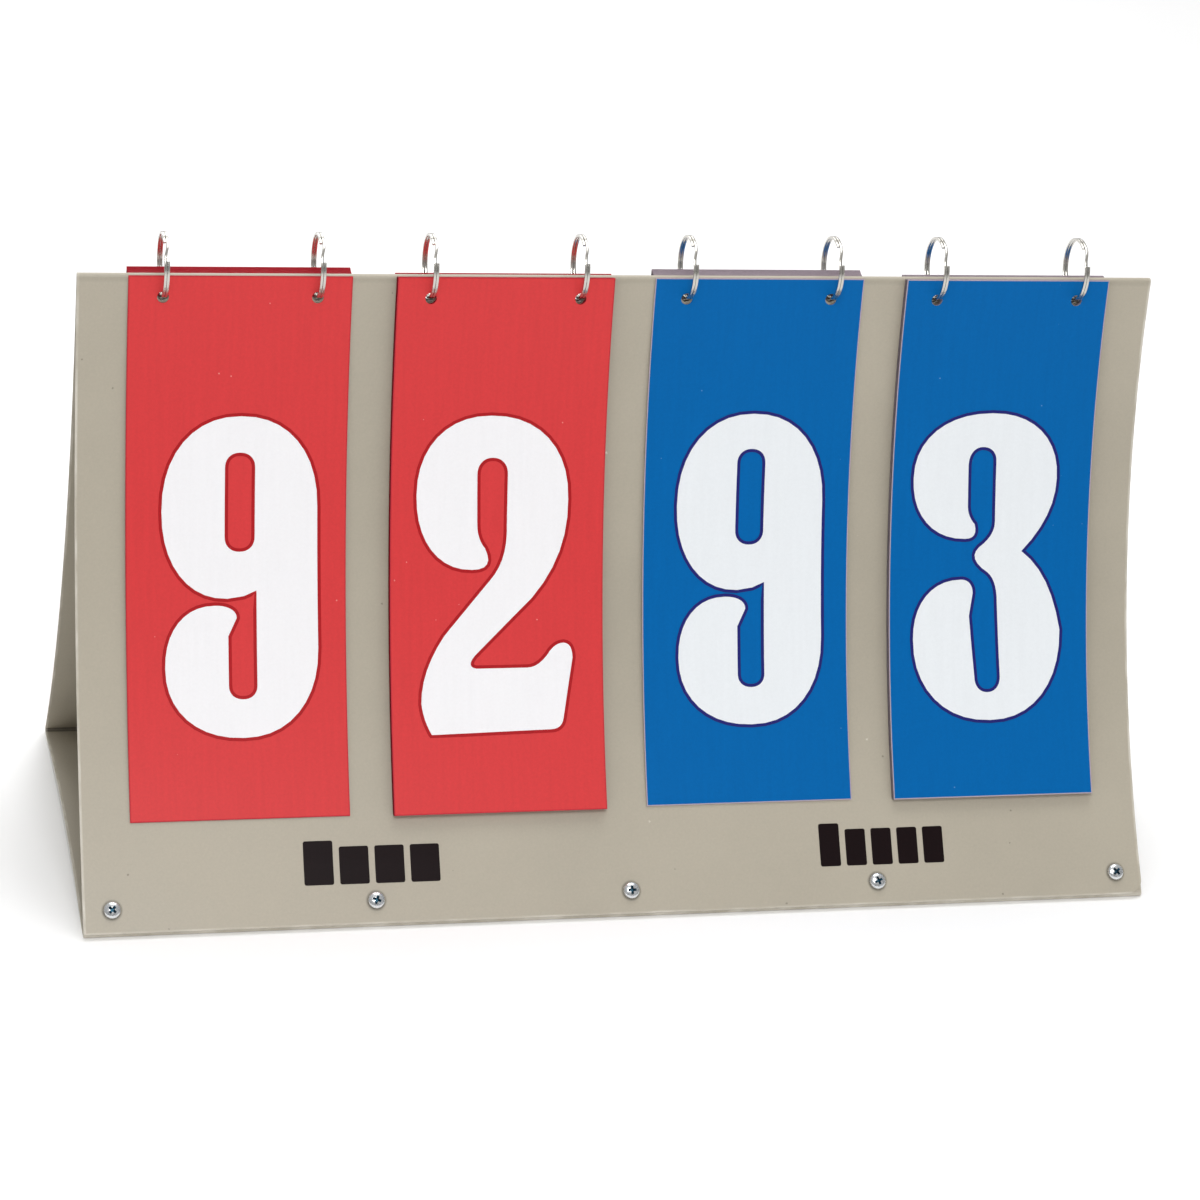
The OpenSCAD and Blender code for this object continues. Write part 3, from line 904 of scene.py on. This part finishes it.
@dataclass
class SeamFasteners:
    """The pan head screws along the front foot, with their washers and nuts behind.

    Each screw has stopped at its own angle. The recess narrows towards its floor, and its cutter stands a
    hair above the head. Any two screws are more than twice the clear distance apart.
    """

    head_d: float = 9.4 * MM
    head_h: float = 3.0 * MM
    edge_h: float = 1.1 * MM
    recess_w: float = 1.5 * MM
    recess_l: float = 5.3 * MM
    recess_depth: float = 2.0 * MM
    recess_floor: float = 0.5 * MM
    shank_d: float = 4.8 * MM
    shank_l: float = 12.0 * MM
    thread_pitch: float = 0.8 * MM
    root_share: float = 0.84
    dome_deg: float = 78.0
    dome_steps: int = 6
    head_sides: int = 48
    shank_sides: int = 32
    recess_taper: tuple[float, float] = (0.35, 0.6)
    cut_over: float = 0.01 * MM
    smooth_deg: float = 35.0
    clear: float = 10.0 * MM
    twist_deg: float = 37.0
    twist_step: float = 50.0 * MM

    def dress(self) -> None:
        """Puts detailed screws in the place of the CAD ones, and plates the washers and nuts."""
        washers = Faces.read("seam_washers")
        screws = Faces.read("seam_screws")
        pattern = self.model_screw()
        parts = bmesh.new()
        for middle, outward in self.places(washers):
            near = np.abs(screws.points[:, 0] - middle.x) < self.clear
            reach = ((screws.points[near] - np.array(middle)) @ np.array(outward)).max()
            seat = middle + outward * (reach - self.head_h)
            turn = outward.to_track_quat("Z", "Y").to_matrix().to_4x4()
            stopped = math.radians(self.twist_deg * round(middle.x / self.twist_step))
            copy = pattern.copy()
            copy.transform(Matrix.Translation(seat) @ turn @ Matrix.Rotation(stopped, 4, "Z"))
            parts.from_mesh(copy)
            bpy.data.meshes.remove(copy)
        mesh = bpy.data.meshes.new("seam_screws_plated")
        parts.to_mesh(mesh)
        parts.free()
        piece = new_piece("seam_screws_plated", mesh, Stock.ZINC, Stock.ZINC_RECESS)
        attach(piece, "stand")
        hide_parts("seam_screws")
        for node in ("seam_washers", "seam_nuts"):
            set_faces(node, [Stock.ZINC])

    def places(self, washers: Faces) -> list[tuple[Vector, Vector]]:
        """Finds where each washer sits and which way its screw's head looks.

        Args:
            washers: The CAD washers' triangles, all washers in one.

        Returns:
            For each washer its middle and a direction.
        """
        points = washers.points[np.argsort(washers.points[:, 0])]
        groups = np.split(points, np.nonzero(np.diff(points[:, 0]) > 2 * self.clear)[0] + 1)
        found = []
        for group in groups:
            middle = (group.min(0) + group.max(0)) / 2
            _, _, axes = np.linalg.svd(np.unique(group.round(ALIKE_DIGITS), axis=0) - group.mean(0))
            outward = Vector(axes[2])
            if outward.y > 0:
                outward.negate()
            found.append((Vector(middle), outward))
        return found

    def model_screw(self) -> Mesh:
        """Models one screw about the origin, its head up from z = 0, with the second material in its recess.

        Returns:
            The screw's mesh.
        """
        deselect_all()
        bpy.ops.mesh.primitive_circle_add(
            vertices=self.head_sides, radius=self.head_d / 2, fill_type="NGON")
        screw = bpy.context.object
        edit_all()
        bpy.ops.mesh.extrude_region_move(TRANSFORM_OT_translate={"value": (0, 0, self.edge_h)})
        width, height = 1.0, 0.0
        for k in range(self.dome_steps):
            lean = math.radians(self.dome_deg * (k + 1) / self.dome_steps)
            rise = (self.head_h - self.edge_h) * (math.sin(lean) - height)
            bpy.ops.mesh.extrude_region_move(TRANSFORM_OT_translate={"value": (0, 0, rise)})
            shrink = math.cos(lean) / width
            bpy.ops.transform.resize(value=(shrink, shrink, 1), center_override=(0, 0, 0))
            width, height = math.cos(lean), math.sin(lean)
        bpy.ops.object.mode_set(mode="OBJECT")
        self.cut_recess(screw)
        self.add_shank(screw)
        bpy.context.view_layer.objects.active = screw
        bpy.ops.object.shade_smooth_by_angle(angle=math.radians(self.smooth_deg))
        mesh = screw.data
        bpy.data.objects.remove(screw)
        # The recess's faces take the painted shade
        for face in mesh.polygons:
            deep = self.recess_floor < face.center.z < self.head_h - self.recess_floor
            face.material_index = int(deep and face.center.xy.length < self.recess_l / 2)
        return mesh

    def cut_recess(self, screw: Object) -> None:
        """Cuts the tapered cross recess into a head.

        Args:
            screw: The head, up from z = 0.
        """
        for turn in (0, 90):
            deselect_all()
            bpy.ops.mesh.primitive_cube_add(size=1)
            cutter = bpy.context.object
            cutter.data.transform(Matrix.Diagonal((self.recess_l, self.recess_w, self.recess_depth, 1)))
            for vertex in cutter.data.vertices:
                if vertex.co.z < 0:
                    vertex.co.x *= self.recess_taper[0]
                    vertex.co.y *= self.recess_taper[1]
            rise = Matrix.Translation((0, 0, self.head_h + self.cut_over - self.recess_depth / 2))
            cutter.data.transform(rise @ Matrix.Rotation(math.radians(turn), 4, "Z"))
            deselect_all()
            bpy.context.view_layer.objects.active = screw
            cut = screw.modifiers.new("recess", "BOOLEAN")
            cut.operation = "DIFFERENCE"
            cut.solver = "EXACT"
            cut.object = cutter
            bpy.ops.object.modifier_apply(modifier=cut.name)
            bpy.data.objects.remove(cutter)

    def add_shank(self, screw: Object) -> None:
        """Joins the threaded shank to a head, with the thread as close ridges.

        Args:
            screw: The head, up from z = 0.
        """
        deselect_all()
        bpy.ops.mesh.primitive_circle_add(
            vertices=self.shank_sides, radius=self.shank_d / 2 * self.root_share, fill_type="NGON",
            location=(0, 0, -self.shank_l))
        bpy.ops.object.transform_apply(location=True)
        edit_all()
        half = self.thread_pitch / 2
        for _ in range(int(self.shank_l / self.thread_pitch)):
            for widen in (1 / self.root_share, self.root_share):
                bpy.ops.mesh.extrude_region_move(TRANSFORM_OT_translate={"value": (0, 0, half)})
                bpy.ops.transform.resize(value=(widen, widen, 1), center_override=(0, 0, 0))
        bpy.ops.object.mode_set(mode="OBJECT")
        screw.select_set(True)
        bpy.context.view_layer.objects.active = screw
        bpy.ops.object.join()


@dataclass(frozen=True)
class TeamMark:
    """A row of plain printed blocks under a team's cards, the first one taller."""

    name: str
    middle_x: float
    width: float
    blocks: int
    middle_z: float = 29.5 * MM
    height: float = 21 * MM
    first_height: float = 24.5 * MM
    gap: float = 3.4 * MM
    corner: float = 1.2 * MM
    corner_steps: int = 4
    ink_t: float = 0.03 * MM
    rows: int = 6
    bow_span: tuple[float, float] = (20 * MM, 320 * MM)

    def dress(self) -> None:
        """Prints the row on the front panel."""
        deselect_all()
        block_w = (self.width - self.gap * (self.blocks - 1)) / self.blocks
        made = []
        for k in range(self.blocks):
            height = self.height if k else self.first_height
            made.append(self.block(k * (block_w + self.gap), block_w, height))
        deselect_all()
        for block in made:
            block.select_set(True)
        row = made[0]
        bpy.context.view_layer.objects.active = row
        bpy.ops.object.join()
        self.lay(row)
        mesh = row.data
        bpy.data.objects.remove(row)
        mesh.name = self.name
        piece = new_piece(self.name, mesh, Stock.MARK_BLACK)
        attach(piece, "stand")

    def block(self, start: float, block_w: float, height: float) -> Object:
        """Draws one block with round corners, flat and upright, its foot on z = 0.

        Args:
            start: Its left side, from the row's left end.
            block_w: Its width.
            height: Its height.

        Returns:
            The block.
        """
        bpy.ops.mesh.primitive_plane_add(size=1)
        block = bpy.context.object
        size = Matrix.Diagonal((block_w, height, 1, 1))
        upright = Matrix.Rotation(math.radians(90), 4, "X")
        place = Matrix.Translation((start + block_w / 2, 0, height / 2))
        block.data.transform(place @ upright @ size)
        edit_all()
        bpy.ops.mesh.bevel(offset=self.corner, segments=self.corner_steps, affect="VERTICES")
        for r in range(1, self.rows):
            bpy.ops.mesh.select_all(action="SELECT")
            bpy.ops.mesh.bisect(plane_co=(0, 0, height * r / self.rows), plane_no=(0, 0, 1))
        bpy.ops.object.mode_set(mode="OBJECT")
        return block

    def lay(self, row: Object) -> None:
        """Lays the row on the bowed panel and gives the ink its thickness.

        Args:
            row: The blocks, flat and upright, in one object.
        """
        bow = Bow.read(Faces.read("front_panel").points, *self.bow_span)
        angle = bow.angle_at(self.middle_z)
        spot = bow.spot(self.middle_x, angle, bow.outer)
        row.data.transform(Matrix.Translation((-self.width / 2, 0, -self.height / 2)))
        row.data.transform(Matrix.Rotation(-angle, 4, "X"))
        row.data.transform(Matrix.Translation(spot))
        wrap = row.modifiers.new("on_panel", "SHRINKWRAP")
        wrap.target = frame["nodes"]["front_panel"]
        wrap.wrap_method = "NEAREST_SURFACEPOINT"
        wrap.wrap_mode = "ABOVE_SURFACE"
        wrap.offset = self.ink_t
        bpy.ops.object.modifier_apply(modifier=wrap.name)
        film = row.modifiers.new("ink", "SOLIDIFY")
        film.thickness = self.ink_t
        film.offset = -1
        bpy.ops.object.modifier_apply(modifier=film.name)


@dataclass(frozen=True)
class Camera:
    """The photograph's viewpoint: a pinhole with a slight roll.

    It was fitted to the tent's corners and holes at two depths of the tent, and the values lie between.
    """

    azimuth_deg: float = 15.14
    pitch_deg: float = 24.22
    roll_deg: float = 5.31
    distance: float = 2.005
    focal_px: float = 3490.0
    frame_px: float = 1200.0
    target: tuple[float, float, float] = (-0.002, 0.0, 0.1389)
    sensor_mm: float = 36.0
    clip: tuple[float, float] = (0.05, 50.0)

    def place(self) -> None:
        """Adds the camera and makes it the scene's."""
        az, pitch, roll = (math.radians(v) for v in (self.azimuth_deg, self.pitch_deg, self.roll_deg))
        ahead = Vector((math.sin(az) * math.cos(pitch), math.cos(az) * math.cos(pitch), -math.sin(pitch)))
        level = Vector((math.cos(az), -math.sin(az), 0))
        upright = level.cross(ahead)
        right = math.cos(roll) * level + math.sin(roll) * upright
        up = -math.sin(roll) * level + math.cos(roll) * upright
        data = bpy.data.cameras.new("photo_camera")
        data.sensor_width = self.sensor_mm
        data.lens = self.focal_px / self.frame_px * self.sensor_mm
        data.clip_start, data.clip_end = self.clip
        camera = bpy.data.objects.new("photo_camera", data)
        bpy.context.scene.collection.objects.link(camera)
        turn = Matrix((right, up, -ahead)).transposed().to_4x4()
        camera.matrix_world = Matrix.Translation(Vector(self.target) - ahead * self.distance) @ turn
        bpy.context.scene.camera = camera


@dataclass(frozen=True)
class Lamp:
    """One soft white area light, aimed at the middle of the tent."""

    name: str
    place: tuple[float, float, float]
    size: float
    power: float
    aim: tuple[float, float, float] = (0.0, 0.0, 0.15)

    def hang(self) -> None:
        """Adds the light."""
        data = bpy.data.lights.new(self.name, "AREA")
        data.shape = "DISK"
        data.size = self.size
        data.energy = self.power
        lamp = bpy.data.objects.new(self.name, data)
        bpy.context.scene.collection.objects.link(lamp)
        lamp.location = self.place
        ahead = Vector(self.aim) - Vector(self.place)
        lamp.rotation_euler = ahead.to_track_quat("-Z", "Y").to_euler()


@dataclass
class Studio:
    """A white table in a pale room, with a soft key from above and in front, a little to the left.

    The room is dim behind the camera and bright above and behind the tent, so that the metal has
    something dark to mirror. The table glows a little, as a lit sweep does.
    """

    lamps: tuple[Lamp, ...] = (
        Lamp("key", (-0.25, -1.35, 1.4), 0.6, 10.3),
        Lamp("fill", (1.7, -2.4, 1.0), 1.8, 1.5),
        Lamp("top", (0.2, 0.5, 2.4), 1.8, 30),
        Lamp("back", (0.0, 3.2, 2.0), 2.4, 30),
    )
    room_light: tuple[float, float] = (0.12, 0.62)
    room_reach: float = 0.8
    bright_side: tuple[float, float, float] = (-0.1, 0.35, 0.6)
    table_colour: str = "#f6f6f6"
    table_roughness: float = 0.8
    table_glow: float = 0.1
    table_size: float = 14.0

    def build(self) -> None:
        """Lays the floor, lights the room and hangs the lamps."""
        deselect_all()
        bpy.ops.mesh.primitive_plane_add(size=self.table_size)
        floor = bpy.context.object
        floor.name = "studio_floor"
        pale = bpy.data.materials.new("pale_table")
        pale.use_nodes = True
        shader = pale.node_tree.nodes["Principled BSDF"]
        shader.inputs["Base Color"].default_value = linear(self.table_colour)
        shader.inputs["Roughness"].default_value = self.table_roughness
        shader.inputs["Emission Color"].default_value = (1, 1, 1, 1)
        shader.inputs["Emission Strength"].default_value = self.table_glow
        floor.data.materials.append(pale)
        world = bpy.data.worlds.new("studio_room")
        world.use_nodes = True
        backdrop = world.node_tree.nodes["Background"]
        backdrop.inputs["Color"].default_value = (1, 1, 1, 1)
        ahead = add_node(world.node_tree, "TexCoord").outputs["Generated"]
        side = add_node(world.node_tree, "VectorMath", {"operation": "DOT_PRODUCT"}, {
            0: ahead, 1: self.bright_side})
        level = add_node(world.node_tree, "MapRange", inputs={
            "Value": side.outputs["Value"], "From Min": -self.room_reach, "From Max": self.room_reach,
            "To Min": self.room_light[0], "To Max": self.room_light[1]})
        world.node_tree.links.new(level.outputs["Result"], backdrop.inputs["Strength"])
        bpy.context.scene.world = world
        bpy.context.scene.view_settings.view_transform = "Standard"
        for lamp in self.lamps:
            lamp.hang()


def main() -> None:
    """Builds and dresses the scoreboard, piece by piece."""
    logging.basicConfig(level=logging.INFO, format="%(message)s")
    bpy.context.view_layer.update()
    Camera().place()
    Stand().dress()
    for team in Team:
        for place in ("tens", "units"):
            for digit in range(10):
                Card(team, f"{team.prefix}_{place}_card_{digit}").dress()
            for hand in ("left", "right"):
                SplitRing().dress(f"{team.prefix}_{place}_ring_{hand}")
    SeamFasteners().dress()
    TeamMark("home_mark_blocks", middle_x=-146 * MM, width=76 * MM, blocks=4).dress()
    TeamMark("guest_mark_blocks", middle_x=149 * MM, width=74 * MM, blocks=5).dress()
    Studio().build()


if __name__ == "__main__":
    main()
